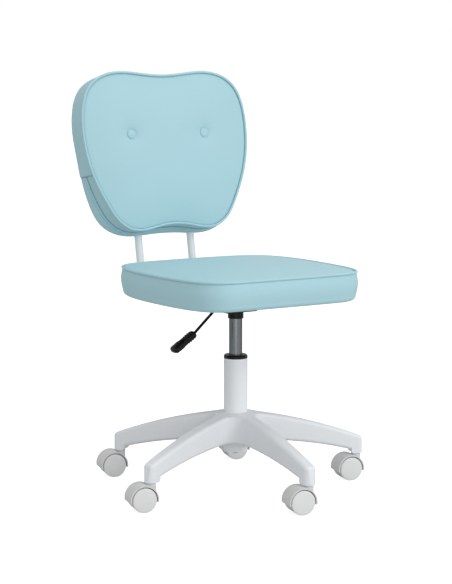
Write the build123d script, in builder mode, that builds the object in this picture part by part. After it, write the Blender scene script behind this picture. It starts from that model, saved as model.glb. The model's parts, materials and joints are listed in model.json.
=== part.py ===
from build123d import *
import os
from math import cos, hypot, radians, sin

# Armless swivel chair: a five-leg caster base, a gas-lift column, an upholstered seat and
# a tufted backrest on two bent tubes.  Millimetres.  The sitter faces -Y, +Z is up, and
# the origin is on the floor, under the column's axis.

# ------------------------------------------------------------------ driving dimensions
# Fits
running_fit = 0.1            # radial play of a part that turns or slides
wheel_fit = 0.05             # radial play of a wheel on its axle
body_gap = 0.4               # gap between parts that move past each other

# Casters
wheel_radius = 25.0
wheel_width = 15.5
caster_trail = 19.0          # wheel centre to stem axis
caster_heading = 168.0       # direction of the trail, degrees from +X
axle_radius = 3.0
stem_radius = 5.5
stem_length = 40.0
neck_radius = 10.0
neck_rise = 0.7              # top of the neck above the hood
hood_wall = 2.5
hood_gap = 2.0               # wheel tread to hood
hood_web = 13.0              # middle plate, between the two wheels
hood_overlap_angle = 10.0    # how far the hood reaches below the axle's height
stem_seat = 13.0             # depth of the stem in the hood's web
grip_groove_radius = 4.5
grip_ring_height = 3.0

# Star base
leg_count = 5
first_leg_angle = 54.5       # one leg then points almost straight ahead, along -Y
stem_circle_radius = 267.0
leg_tip_half_width = 13.3
leg_root_half_width = 18.5
boss_gap = 1.3               # between a caster's neck and its leg
boss_height = 36.0           # of the leg's outer end
leg_end_slope = 3.0          # the outer end leans in by this at its top
leg_crown = 9.0              # rise of the leg's top above a straight line
leg_arch = 7.0               # rise of its underside
step_round = 6.0             # where the underside meets the boss
hub_wall = 9.0               # around the column
hub_bottom = 89.0
hub_top = 163.0
leg_wall = 3.0
leg_rib = 2.5
leg_edge_radius = 7.0
web_radius = 28.0            # vertical rounding where two legs meet at the hub
socket_wall = 2.4
socket_flange = 1.1

# Column and gas lift
column_radius = 25.0
column_taper = 0.8           # the foot's radius is smaller by this
column_wall = 1.6
column_bottom = 76.0
column_top = 273.0
column_floor = 3.0
bushing_flange = 7.5
bushing_length = 70.0
cylinder_radius = 14.0
cylinder_taper = 0.8
cylinder_wall = 1.6
cylinder_bottom = 184.0
cylinder_top = 386.0
valve_radius = 8.0
valve_length = 24.0
button_radius = 3.0
button_proud = 4.5
rod_radius = 5.0
rod_foot = 70.0
end_guide_length = 12.0
piston_length = 9.5
race_radius = 16.0
race_height = 2.0
ball_radius = 2.0
ball_count = 10
bump_radius = 9.5
bump_length = 15.0

# Seat fixing and lever
plate_half_width = 88.0
plate_half_depth = 75.0
plate_thickness = 3.0
plate_rise = 18.0            # above the cylinder's top
housing_half_width = 38.0
housing_half_depth = 28.0
housing_depth = 32.0
housing_wall = 2.0
taper_socket_wall = 2.5
taper_socket_length = 29.0
lever_radius = 3.0
lever_gap = 0.5              # between the valve's button and the lever at rest
lever_pivot_x = -22.0
lever_bend_x = -33.0
lever_knee = (-100.0, -60.4)  # x, and z from the straight run inside the housing
lever_tip = (-152.0, -94.5)
trunnion_radius = 2.5
bush_length = 12.0
paddle_half_width = 11.5
paddle_thickness = 12.0

# Seat
seat_width = 400.0
seat_depth = 402.0
seat_centre_y = -4.0
seat_thickness = 68.0
seat_skirt = 2.0             # the padding's edge, below the plate
seat_top_round = 11.0
seat_bottom_round = 10.0
seat_board_inset = 12.0
seat_board_thickness = 12.0
dust_cover_thickness = 1.0
bolt_radius = 3.0
bolt_head_radius = 5.5
bolt_head_height = 3.5
bolt_rows = (-45.0, 55.0)
nut_radius = 4.0
nut_flange_radius = 9.0
nut_flange = 1.4

# Back
back_width = 409.0
back_height = 346.0
back_recline = 10.0
back_y = 277.0               # of the front seam, at the height back_z
back_z = 694.0
back_front_depth = 34.0      # front pad, from the seam back to the board
back_crown = 8.0             # front pad, in front of the seam
back_rear_cover = 2.9        # padding behind the screw heads
back_rear_round = 12.0
back_board_inset = 14.0
back_board_thickness = 9.0
button_cap_radius = 9.5
button_cap_height = 6.0
button_seat = 2.0            # depth of a button's underside, behind the front seam
button_spacing = 184.0
button_rise = 38.0
button_shank_radius = 1.5
screw_radius = 2.5
screw_head_radius = 4.5
screw_head_height = 2.5
screw_rises = (-70.0, 0.0)
screw_tip_depth = 36.0

# Back tubes
tube_radius = 8.5
tube_wall = 1.5
tube_spacing = 133.0
tube_front_y = -62.0
tube_bend_radius = 60.0
tube_top_rise = 18.0         # above back_z, along the back
tube_gap = 0.3
plug_depth = 12.0

# ------------------------------------------------------------------ derived sizes
neck_top = 2 * wheel_radius + hood_gap + hood_wall + neck_rise
boss_bottom = neck_top + boss_gap
hub_radius = column_radius + hub_wall
column_foot_radius = column_radius - column_taper
cylinder_tip_radius = cylinder_radius - cylinder_taper
socket_radius = cylinder_radius + taper_socket_wall
socket_bottom = cylinder_top - taper_socket_length
plate_bottom = cylinder_top + plate_rise
plate_top = plate_bottom + plate_thickness
housing_bottom = plate_bottom - housing_depth
lever_height = cylinder_top + button_proud + lever_gap + lever_radius
seat_bottom = plate_bottom - seat_skirt
seat_top = seat_bottom + seat_thickness
seat_board_bottom = plate_top + dust_cover_thickness
board_top = seat_board_bottom + seat_board_thickness
tube_run_z = plate_bottom - tube_radius
race_seat = column_bottom + column_floor
balls_z = race_seat + race_height + ball_radius
upper_race_bottom = balls_z + ball_radius + running_fit
bump_bottom = upper_race_bottom + race_height
guide_top = cylinder_bottom + end_guide_length
piston_bottom = guide_top + body_gap
leg_angles = [first_leg_angle + 360.0 / leg_count * i for i in range(leg_count)]
wheel_inner_y = hood_web / 2 + body_gap
wheel_outer_y = wheel_inner_y + wheel_width
hood_inner_radius = wheel_radius + hood_gap
hood_outer_radius = hood_inner_radius + hood_wall
bolt_places = [(x, y) for x in (-tube_spacing / 2, tube_spacing / 2) for y in bolt_rows]


def finish(part, name):
    """Label a finished piece and write it to its own file."""
    part.label = name
    export_step(part, f"parts/{name}.step")


def ring(outer, inner, bottom, top):
    """A plain ring about the column's axis."""
    with BuildPart() as made:
        with BuildSketch(Plane.XY.offset(bottom)):
            Circle(outer)
            Circle(inner, mode=Mode.SUBTRACT)
        extrude(amount=top - bottom)
    return made.part


def turned(points):
    """A solid turned about the column's axis from its half profile, as (radius, height)."""
    with BuildPart() as made:
        with BuildSketch(Plane.XZ):
            with BuildLine():
                Polyline(*points, close=True)
            make_face()
        revolve(axis=Axis.Z)
    return made.part


os.makedirs("parts", exist_ok=True)

# ------------------------------------------------------------------ star base
boss_top = boss_bottom + boss_height
tip_radius = stem_circle_radius + leg_tip_half_width
leg_underside_root = hub_bottom + 9.0
leg_underside_tip = boss_bottom + 8.0
socket_outer_radius = stem_radius + running_fit + socket_wall
socket_top = neck_top + stem_length * 0.72


def foot_radius(z):
    """Radius of the column's tapered foot at the height z."""
    share = (z - column_bottom) / (hub_top - column_bottom)
    return column_foot_radius + (column_radius - column_foot_radius) * share


def leg_side(inset):
    """Outline of one leg seen from the side, drawn inset inwards, as a face in XZ."""
    boss_inner = stem_circle_radius - leg_tip_half_width + inset
    with BuildSketch(Plane.XZ) as side:
        with BuildLine():
            top = SagittaArc((0, hub_top - inset),
                             (tip_radius - leg_end_slope - inset, boss_top - inset), leg_crown)
            outer = Line(top @ 1, (tip_radius - inset, boss_bottom))
            foot = Line(outer @ 1, (boss_inner, boss_bottom))
            step = Line(foot @ 1, (boss_inner, leg_underside_tip))
            under = SagittaArc(step @ 1, (hub_radius - 4, leg_underside_root), -leg_arch)
            root = Line(under @ 1, (0, leg_underside_root))
            Line(root @ 1, top @ 0)
        make_face()
        corner = side.vertices().sort_by_distance((boss_inner, 0, leg_underside_tip))[0]
        fillet(corner, radius=step_round)
    return side.sketch


def leg_plan(inset):
    """Outline of one leg seen from above: a taper with a round end about the stem."""
    with BuildSketch() as plan:
        with BuildLine():
            side = Line((0, leg_root_half_width - inset),
                        (stem_circle_radius, leg_tip_half_width - inset))
            end = ThreePointArc(side @ 1, (tip_radius - inset, 0),
                                (stem_circle_radius, inset - leg_tip_half_width))
            other = Line(end @ 1, (0, inset - leg_root_half_width))
            Line(other @ 1, side @ 0)
        make_face()
    return plan.sketch


# The leg is moulded hollow, open underneath, with cross ribs
with BuildPart() as leg_hollow:
    extrude(leg_side(leg_wall), amount=leg_root_half_width, both=True)
    extrude(leg_plan(leg_wall), amount=hub_top, mode=Mode.INTERSECT)
    with BuildSketch():
        with Locations((hub_radius + leg_wall, 0)):
            Rectangle(stem_circle_radius - 2 * leg_tip_half_width - hub_radius,
                      2 * leg_root_half_width, align=(Align.MIN, Align.CENTER))
    extrude(amount=hub_top, mode=Mode.INTERSECT)
    split(bisect_by=Plane.XY.offset(leg_underside_tip + 4))
    for share in (0.25, 0.45, 0.65, 0.85):
        with Locations((stem_circle_radius * share, 0, hub_top / 2)):
            Box(leg_rib, 2 * leg_root_half_width, 2 * hub_top, mode=Mode.SUBTRACT)

with BuildPart() as star_base:
    # the legs' side profile turned about the column, cut to the star's outline
    add(leg_side(0))
    revolve(axis=Axis.Z)
    with BuildSketch() as star_plan:
        with PolarLocations(0, leg_count, start_angle=first_leg_angle):
            add(leg_plan(0))
        inner_corners = [v for v in star_plan.vertices()
                         if hypot(v.X, v.Y) < stem_circle_radius / 2]
        fillet(inner_corners, radius=web_radius)
    extrude(amount=hub_top, mode=Mode.INTERSECT)
    rim = [edge for edge in star_base.edges()
           if edge.center().Z > boss_top - 12 and edge.geom_type != GeomType.LINE]
    fillet(rim, radius=leg_edge_radius)
    for angle in leg_angles:
        add(leg_hollow.part.rotate(Axis.Z, angle), mode=Mode.SUBTRACT)
    with BuildSketch(Plane.XY.offset(hub_bottom)):
        Circle(hub_radius)
    extrude(amount=hub_top - hub_bottom - leg_edge_radius)
    for height in (hub_bottom, hub_top):
        with BuildSketch(Plane.XY.offset(height)):
            Circle(foot_radius(height))
    loft(mode=Mode.SUBTRACT)
    with PolarLocations(stem_circle_radius, leg_count, start_angle=first_leg_angle):
        with Locations((0, 0, boss_bottom)):
            Cylinder(socket_outer_radius, socket_top - boss_bottom,
                     align=(Align.CENTER, Align.CENTER, Align.MIN), mode=Mode.SUBTRACT)
finish(star_base.part, "star_base")

# ------------------------------------------------------------------ caster sockets and rings
ring_z = neck_top + stem_length * 0.5
ring_outer = stem_radius + running_fit + socket_wall / 3

with BuildPart() as one_socket:
    with BuildSketch(Plane.XZ):
        with BuildLine():
            bore = stem_radius + running_fit
            Polyline((bore, neck_top + body_gap), (socket_outer_radius + 2, neck_top + body_gap),
                     (socket_outer_radius + 2, boss_bottom), (socket_outer_radius, boss_bottom),
                     (socket_outer_radius, socket_top), (bore, socket_top),
                     (bore, ring_z + grip_ring_height), (ring_outer, ring_z + grip_ring_height),
                     (ring_outer, ring_z), (bore, ring_z), close=True)
        make_face()
    revolve(axis=Axis.Z)

with BuildPart() as one_grip_ring:
    with BuildSketch(Plane.XY.offset(ring_z)):
        Circle(ring_outer)
        Circle(grip_groove_radius + running_fit, mode=Mode.SUBTRACT)
        with Locations((ring_outer, 0)):
            Rectangle(ring_outer, ring_outer / 2, mode=Mode.SUBTRACT)
    extrude(amount=grip_ring_height)

with BuildPart() as caster_sockets:
    with PolarLocations(stem_circle_radius, leg_count, start_angle=first_leg_angle):
        add(one_socket.part)
finish(caster_sockets.part, "caster_sockets")

with BuildPart() as stem_grip_rings:
    with PolarLocations(stem_circle_radius, leg_count, start_angle=first_leg_angle):
        add(one_grip_ring.part)
finish(stem_grip_rings.part, "stem_grip_rings")

# ------------------------------------------------------------------ column
column_bore = column_radius - column_wall
foot_bore = column_foot_radius - column_wall
finish(turned([(column_foot_radius, column_bottom), (column_radius, hub_top),
               (column_radius, column_top), (column_bore, column_top), (column_bore, hub_top),
               (foot_bore, race_seat), (rod_radius + tube_gap, race_seat),
               (rod_radius + tube_gap, column_bottom)]), "column_tube")

guide_bore = cylinder_radius + running_fit
finish(turned([(guide_bore, column_top - bushing_length), (column_bore, column_top - bushing_length),
               (column_bore, column_top), (column_radius, column_top),
               (column_radius, column_top + bushing_flange - 2),
               (column_radius - 2, column_top + bushing_flange),
               (guide_bore, column_top + bushing_flange)]), "guide_bushing")

race_inner = rod_radius + tube_gap
balls_radius = (race_radius + race_inner) / 2
finish(ring(race_radius, race_inner, race_seat, race_seat + race_height), "bearing_lower_race")

with BuildPart() as bearing_balls:
    with PolarLocations(balls_radius, ball_count):
        with Locations((0, 0, balls_z)):
            Sphere(ball_radius)
finish(bearing_balls.part, "bearing_balls")

with BuildPart() as bearing_cage:
    with BuildSketch(Plane.XY.offset(balls_z - ball_radius / 4)):
        Circle(race_radius - 1)
        Circle(race_inner + 1, mode=Mode.SUBTRACT)
        with PolarLocations(balls_radius, ball_count):
            Circle(ball_radius + running_fit, mode=Mode.SUBTRACT)
    extrude(amount=ball_radius / 2)
finish(bearing_cage.part, "bearing_cage")

# ------------------------------------------------------------------ piston and its bearing
clip_bottom = column_bottom - 3.5
washer_bottom = column_bottom - 2.0
clip_groove = rod_radius - 0.7
finish(turned([(0, rod_foot), (rod_radius, rod_foot), (rod_radius, clip_bottom),
               (clip_groove, clip_bottom), (clip_groove, washer_bottom),
               (rod_radius, washer_bottom), (rod_radius, piston_bottom + piston_length + 2),
               (0, piston_bottom + piston_length + 2)]), "piston_rod")
finish(ring(cylinder_radius - cylinder_wall - running_fit, rod_radius,
            piston_bottom, piston_bottom + piston_length), "piston_head")
finish(ring(race_radius, rod_radius, upper_race_bottom, bump_bottom), "bearing_upper_race")
finish(ring(bump_radius, rod_radius, bump_bottom, bump_bottom + bump_length), "bump_stop")
finish(ring(rod_radius + 6, rod_radius, washer_bottom, column_bottom - tube_gap), "rod_washer")

with BuildPart() as rod_clip:
    with BuildSketch(Plane.XY.offset(clip_bottom)):
        Circle(rod_radius + 3)
        Circle(clip_groove, mode=Mode.SUBTRACT)
        with Locations((rod_radius + 3, 0)):
            Rectangle(2 * rod_radius, rod_radius, mode=Mode.SUBTRACT)
    extrude(amount=washer_bottom - clip_bottom)
finish(rod_clip.part, "rod_clip")

# ------------------------------------------------------------------ gas cylinder and valve
cylinder_bore = cylinder_radius - cylinder_wall
valve_seat = cylinder_top - valve_length * 0.75
button_top = cylinder_top + button_proud
button_bore_floor = cylinder_top - valve_length * 0.6
finish(turned([(cylinder_bore, cylinder_bottom), (cylinder_radius, cylinder_bottom),
               (cylinder_radius, socket_bottom), (cylinder_tip_radius, cylinder_top),
               (valve_radius, cylinder_top), (valve_radius, valve_seat),
               (cylinder_bore, valve_seat)]), "gas_cylinder")
finish(ring(cylinder_bore, rod_radius + running_fit, cylinder_bottom, guide_top),
       "cylinder_end_guide")
finish(turned([(0, cylinder_top - valve_length), (valve_radius, cylinder_top - valve_length),
               (valve_radius, cylinder_top - 1), (button_radius + running_fit, cylinder_top - 1),
               (button_radius + running_fit, button_bore_floor), (0, button_bore_floor)]),
       "valve_body")
finish(turned([(0, button_bore_floor + 6), (button_radius, button_bore_floor + 6),
               (button_radius, button_top - 1), (button_radius - 1, button_top),
               (0, button_top)]), "valve_button")

# ------------------------------------------------------------------ seat plate
ear_gap = bush_length / 2 + body_gap
with BuildPart() as seat_plate:
    with BuildSketch(Plane.XY.offset(plate_bottom)):
        RectangleRounded(2 * plate_half_width, 2 * plate_half_depth, 12)
        with Locations(*bolt_places):
            Circle(bolt_radius + tube_gap, mode=Mode.SUBTRACT)
    extrude(amount=plate_thickness)
    with BuildSketch(Plane.XY.offset(housing_bottom)):
        RectangleRounded(2 * housing_half_width, 2 * housing_half_depth, 6)
    extrude(amount=housing_depth)
    with BuildSketch(Plane.XY.offset(housing_bottom + housing_wall)):
        RectangleRounded(2 * (housing_half_width - housing_wall),
                         2 * (housing_half_depth - housing_wall), 4)
    extrude(amount=housing_depth - housing_wall, mode=Mode.SUBTRACT)
    # the taper socket, welded through the housing's floor
    with BuildSketch(Plane.XY.offset(socket_bottom)):
        Circle(socket_radius)
    extrude(amount=cylinder_top - 1 - socket_bottom)
    for height, radius in ((socket_bottom, cylinder_radius), (cylinder_top, cylinder_tip_radius)):
        with BuildSketch(Plane.XY.offset(height)):
            Circle(radius)
    loft(mode=Mode.SUBTRACT)
    # the slot that the lever leaves by
    with Locations((-housing_half_width, 0, (housing_bottom + lever_height) / 2 + 5)):
        Box(4 * housing_wall, 4 * lever_radius, lever_height - housing_bottom,
            mode=Mode.SUBTRACT)
    # two ears carry the lever's trunnions
    for side in (-1, 1):
        with BuildSketch(Plane.XZ.offset(side * (ear_gap + housing_wall / 2))):
            with Locations((lever_pivot_x, (lever_height + plate_bottom) / 2 - 3)):
                Rectangle(12, plate_bottom - lever_height + 6)
            with Locations((lever_pivot_x, lever_height)):
                Circle(trunnion_radius + wheel_fit, mode=Mode.SUBTRACT)
        extrude(amount=housing_wall / 2, both=True)
finish(seat_plate.part, "seat_plate")

# ------------------------------------------------------------------ lever
with BuildPart() as lever_rod:
    with BuildLine() as lever_line:
        knee_to_tip = (lever_tip[0] - lever_knee[0], lever_tip[1] - lever_knee[1])
        FilletPolyline((button_radius + 1, 0, lever_height), (lever_bend_x, 0, lever_height),
                       (lever_knee[0], 0, lever_height + lever_knee[1]),
                       (lever_knee[0] + knee_to_tip[0] * 0.5, 0,
                        lever_height + lever_knee[1] + knee_to_tip[1] * 0.5), radius=12)
    with BuildSketch(Plane(origin=lever_line.line @ 0, z_dir=lever_line.line % 0)):
        Circle(lever_radius)
    sweep()
finish(lever_rod.part, "lever_rod")

with BuildPart() as lever_bush:
    with Locations((lever_pivot_x, 0, lever_height)):
        Box(10, bush_length, 10)
        Cylinder(trunnion_radius, 2 * (ear_gap + housing_wall), rotation=(90, 0, 0))
        Cylinder(lever_radius, 12, rotation=(0, 90, 0), mode=Mode.SUBTRACT)
finish(lever_bush.part, "lever_bush")

paddle_along = Vector(lever_tip[0] - lever_knee[0], 0, lever_tip[1] - lever_knee[1])
paddle_plane = Plane(origin=(lever_knee[0], 0, lever_height + lever_knee[1]), x_dir=paddle_along,
                     z_dir=(paddle_along.Z, 0, -paddle_along.X))
with BuildPart() as lever_paddle:
    with BuildSketch(paddle_plane):
        with Locations((paddle_along.length / 2, 0)):
            RectangleRounded(paddle_along.length, 2 * paddle_half_width, paddle_half_width * 0.7)
    extrude(amount=paddle_thickness / 2, both=True)
    fillet(lever_paddle.edges(), radius=paddle_thickness / 6)
    add(lever_rod.part, mode=Mode.SUBTRACT)
finish(lever_paddle.part, "lever_paddle")

# ------------------------------------------------------------------ seat
# Half outlines, from the middle of the front (or top) round to the middle of the rear,
# as shares of the half width and of the half depth
seat_half_outline = [(0.0, -1.0), (0.28, -0.998), (0.56, -0.99), (0.80, -0.96), (0.93, -0.856),
                     (0.985, -0.68), (1.0, -0.43), (0.98, 0.02), (0.94, 0.42), (0.89, 0.74),
                     (0.80, 0.90), (0.62, 0.972), (0.30, 0.995), (0.0, 1.0)]
back_upper_half = [(0.0, 0.955), (0.24, 0.975), (0.48, 1.0), (0.70, 0.965), (0.88, 0.83),
                   (0.975, 0.59), (1.0, 0.30), (0.975, -0.04)]
front_lower_half = [(0.90, -0.35), (0.78, -0.65), (0.65, -0.87), (0.50, -0.97), (0.30, -0.965),
                    (0.13, -0.925), (0.0, -0.915)]
rear_lower_half = [(0.93, -0.34), (0.855, -0.63), (0.745, -0.87), (0.58, -0.985), (0.34, -1.015),
                   (0.15, -1.01), (0.0, -1.01)]


def padded_outline(half_outline, half_width, half_length, inset):
    """Closed symmetric outline through the half outline's points, drawn inset inwards."""
    right = [(x * (half_width - inset), y * (half_length - inset)) for x, y in half_outline]
    left = [(-x, y) for x, y in reversed(right[1:-1])]
    with BuildSketch() as outline:
        with BuildLine():
            Spline(*right, *left, periodic=True)
        make_face()
    return outline.sketch


def seat_outline(height, inset):
    """The seat's outline as a face at a height."""
    face = padded_outline(seat_half_outline, seat_width / 2, seat_depth / 2, inset)
    return face.moved(Location((0, seat_centre_y, height)))


with BuildPart() as seat_board:
    extrude(seat_outline(seat_board_bottom, seat_board_inset), amount=seat_board_thickness)
    with BuildSketch(Plane.XY.offset(seat_board_bottom)):
        with Locations(*bolt_places):
            Circle(nut_radius)
    extrude(amount=seat_board_thickness, mode=Mode.SUBTRACT)
finish(seat_board.part, "seat_board")

with BuildPart() as tee_nuts:
    with BuildSketch(Plane.XY.offset(seat_board_bottom)):
        with Locations(*bolt_places):
            Circle(nut_radius)
    extrude(amount=seat_board_thickness)
    with BuildSketch(Plane.XY.offset(board_top)):
        with Locations(*bolt_places):
            Circle(nut_flange_radius)
    extrude(amount=nut_flange)
    with BuildSketch(Plane.XY.offset(seat_board_bottom)):
        with Locations(*bolt_places):
            Circle(bolt_radius)
    extrude(amount=seat_board_thickness + nut_flange, mode=Mode.SUBTRACT)
finish(tee_nuts.part, "tee_nuts")

with BuildPart() as dust_cover:
    extrude(seat_outline(plate_top, seat_board_inset + 1), amount=dust_cover_thickness)
    with BuildSketch(Plane.XY.offset(plate_top)):
        with Locations(*bolt_places):
            Circle(bolt_radius + tube_gap)
    extrude(amount=dust_cover_thickness, mode=Mode.SUBTRACT)
finish(dust_cover.part, "dust_cover")

tube_bottom = plate_bottom - 2 * tube_radius
with BuildPart() as frame_bolts:
    with BuildSketch(Plane.XY.offset(tube_bottom - bolt_head_height)):
        with Locations(*bolt_places):
            Circle(bolt_head_radius)
    extrude(amount=bolt_head_height)
    with BuildSketch(Plane.XY.offset(tube_bottom)):
        with Locations(*bolt_places):
            Circle(bolt_radius)
    extrude(amount=board_top + nut_flange - tube_bottom)
finish(frame_bolts.part, "frame_bolts")

with BuildPart() as seat_cushion:
    extrude(seat_outline(seat_bottom, 0), amount=seat_top - seat_bottom)
    fillet(seat_cushion.faces().sort_by(Axis.Z)[-1].edges(), radius=seat_top_round)
    fillet(seat_cushion.faces().sort_by(Axis.Z)[0].edges(), radius=seat_bottom_round)
    extrude(seat_outline(seat_bottom, seat_board_inset),
            amount=board_top + nut_flange - seat_bottom, mode=Mode.SUBTRACT)
    # the tubes leave through notches in the rear edge
    with BuildSketch(Plane.XY.offset(seat_bottom - seat_skirt)):
        with Locations((-tube_spacing / 2, 0), (tube_spacing / 2, 0)):
            Rectangle(2 * (tube_radius + tube_gap), seat_depth, align=(Align.CENTER, Align.MIN))
    extrude(amount=2 * seat_skirt + tube_gap, mode=Mode.SUBTRACT)
finish(seat_cushion.part, "seat_cushion")

# ------------------------------------------------------------------ back
lean = radians(back_recline)
back_plane = Plane(origin=(0, back_y, back_z), x_dir=(1, 0, 0),
                   z_dir=(0, -cos(lean), sin(lean)))
board_front = back_front_depth
board_rear = back_front_depth + back_board_thickness
tube_depth = board_rear + tube_gap + tube_radius
screw_seat = tube_depth + tube_radius
channel_depth = screw_seat + screw_head_height + tube_gap
back_rear = channel_depth + back_rear_cover
screw_places = [(x, s) for x in (-tube_spacing / 2, tube_spacing / 2) for s in screw_rises]
button_places = [(x, button_rise) for x in (-button_spacing / 2, button_spacing / 2)]


def back_outline(depth, inset, lower_half=front_lower_half):
    """The back's outline as a face, at a depth behind its front seam."""
    face = padded_outline(back_upper_half + lower_half, back_width / 2, back_height / 2, inset)
    return back_plane.offset(-depth).from_local_coords(face)


def discs(places, radius, depth):
    """Round faces at places on the back, at a depth behind its front seam."""
    with BuildSketch(back_plane.offset(-depth)) as faces:
        with Locations(*places):
            Circle(radius)
    return faces.sketch


# Tube axis: forward under the seat, then up the back, in the plane X = 0
rise = Vector(0, sin(lean), cos(lean))
tube_foot = Vector(0, back_y, back_z) + Vector(0, cos(lean), -sin(lean)) * tube_depth
corner = tube_foot - rise * ((tube_foot.Z - tube_run_z) / cos(lean))
tube_end = tube_foot + rise * tube_top_rise

with BuildPart() as plain_tube:
    with BuildLine() as tube_line:
        FilletPolyline((0, tube_front_y, tube_run_z), corner, tube_end, radius=tube_bend_radius)
    with BuildSketch(Plane(origin=tube_line.line @ 0, z_dir=tube_line.line % 0)):
        Circle(tube_radius)
        Circle(tube_radius - tube_wall, mode=Mode.SUBTRACT)
    sweep()

for name, side in (("back_tube_left", 1), ("back_tube_right", -1)):
    with BuildPart() as back_tube:
        with Locations((side * tube_spacing / 2, 0, 0)):
            add(plain_tube.part)
        with Locations(*[(side * tube_spacing / 2, y, tube_run_z) for y in bolt_rows]):
            Cylinder(bolt_radius + tube_gap, 3 * tube_radius, mode=Mode.SUBTRACT)
        extrude(discs(screw_places, screw_radius + tube_gap, back_rear),
                amount=back_rear - board_rear, mode=Mode.SUBTRACT)
    finish(back_tube.part, name)

with BuildPart() as tube_plugs:
    with BuildSketch(Plane.XZ.offset(-tube_front_y)):
        with Locations((-tube_spacing / 2, tube_run_z), (tube_spacing / 2, tube_run_z)):
            Circle(tube_radius)
    extrude(amount=2.5)
    with BuildSketch(Plane.XZ.offset(-tube_front_y)):
        with Locations((-tube_spacing / 2, tube_run_z), (tube_spacing / 2, tube_run_z)):
            Circle(tube_radius - tube_wall)
    extrude(amount=-min(plug_depth, bolt_rows[0] - tube_front_y - 2 * bolt_radius))
finish(tube_plugs.part, "tube_plugs")

with BuildPart() as back_board:
    extrude(back_outline(board_rear, back_board_inset), amount=back_board_thickness)
    extrude(discs(screw_places, screw_radius, board_rear),
            amount=board_rear - screw_tip_depth, mode=Mode.SUBTRACT)
finish(back_board.part, "back_board")

with BuildPart() as back_screws:
    extrude(discs(screw_places, screw_radius, screw_seat), amount=screw_seat - screw_tip_depth)
    extrude(discs(screw_places, screw_head_radius, screw_seat + screw_head_height),
            amount=screw_head_height)
finish(back_screws.part, "back_screws")

with BuildPart() as back_cushion:
    extrude(back_outline(board_front, 0), amount=back_front_depth + back_crown)
    front_face = back_cushion.faces().sort_by(Axis(back_plane.origin, back_plane.z_dir))[-1]
    fillet(front_face.edges(), radius=back_crown)
    extrude(discs(button_places, button_cap_radius + body_gap, button_seat),
            amount=button_seat + back_crown, mode=Mode.SUBTRACT)
    extrude(discs(button_places, button_shank_radius + running_fit, board_front),
            amount=board_front - button_seat, mode=Mode.SUBTRACT)
finish(back_cushion.part, "back_cushion")

with BuildPart() as back_buttons:
    extrude(discs(button_places, button_cap_radius, button_seat), amount=button_cap_height)
    fillet(back_buttons.edges().group_by(Axis(back_plane.origin, back_plane.z_dir))[-1],
           radius=button_cap_height * 0.4)
    extrude(discs(button_places, button_shank_radius, board_front),
            amount=board_front - button_seat)
finish(back_buttons.part, "back_buttons")

with BuildPart() as back_rear_pad:
    extrude(back_outline(back_rear, 0, rear_lower_half), amount=back_rear - board_front)
    rear_face = back_rear_pad.faces().sort_by(Axis(back_plane.origin, back_plane.z_dir))[0]
    fillet(rear_face.edges(), radius=back_rear_round)
    extrude(back_outline(board_rear, back_board_inset), amount=back_board_thickness,
            mode=Mode.SUBTRACT)
    # a square channel for each tube and its screw heads, open at the bottom
    with BuildSketch(back_plane.offset(-channel_depth)):
        with Locations((-tube_spacing / 2, tube_top_rise + tube_gap),
                       (tube_spacing / 2, tube_top_rise + tube_gap)):
            Rectangle(2 * (tube_radius + tube_gap), back_height,
                      align=(Align.CENTER, Align.MAX))
    extrude(amount=channel_depth - board_rear, mode=Mode.SUBTRACT)
finish(back_rear_pad.part, "back_rear_pad")

# ------------------------------------------------------------------ casters
# One caster, with its stem on the Z axis and its trail along +X
wheel_centre = (caster_trail, 0, wheel_radius)
stem_bottom = neck_top - stem_seat
axle_half_length = wheel_inner_y + wheel_width * 0.8

with BuildPart() as hood:
    with BuildSketch(Plane.XZ):
        with Locations((caster_trail, wheel_radius)):
            Circle(hood_outer_radius)
        with Locations((caster_trail, wheel_radius - hood_outer_radius * 1.5
                        - hood_outer_radius * sin(radians(hood_overlap_angle)))):
            Rectangle(4 * hood_outer_radius, 3 * hood_outer_radius, mode=Mode.SUBTRACT)
    extrude(amount=wheel_outer_y, both=True)
    with Locations((0, 0, neck_top)):
        Cylinder(neck_radius, neck_top - wheel_radius - 10,
                 align=(Align.CENTER, Align.CENTER, Align.MAX))
    for side in (-1, 1):
        with BuildSketch(Plane.XZ.offset(-side * hood_web / 2)):
            with Locations((caster_trail, wheel_radius)):
                Circle(hood_inner_radius)
        extrude(amount=-side * 2 * wheel_width, mode=Mode.SUBTRACT)
    with BuildSketch(Plane.XZ):
        with Locations((caster_trail, wheel_radius)):
            Circle(axle_radius + 4)
    extrude(amount=hood_web / 2, both=True)
    with Locations(wheel_centre):
        Cylinder(axle_radius, 4 * hood_web, rotation=(90, 0, 0), mode=Mode.SUBTRACT)
    with Locations((0, 0, stem_bottom)):
        Cylinder(stem_radius, stem_length, align=(Align.CENTER, Align.CENTER, Align.MIN),
                 mode=Mode.SUBTRACT)

with BuildPart() as stem:
    with Locations((0, 0, stem_bottom)):
        Cylinder(stem_radius, socket_top - 1 - stem_bottom,
                 align=(Align.CENTER, Align.CENTER, Align.MIN))
    with BuildSketch(Plane.XY.offset(ring_z - running_fit)):
        Circle(stem_radius)
        Circle(grip_groove_radius, mode=Mode.SUBTRACT)
    extrude(amount=grip_ring_height + 2 * running_fit, mode=Mode.SUBTRACT)

with BuildPart() as axle:
    with Locations(wheel_centre):
        Cylinder(axle_radius, 2 * axle_half_length, rotation=(90, 0, 0))

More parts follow.
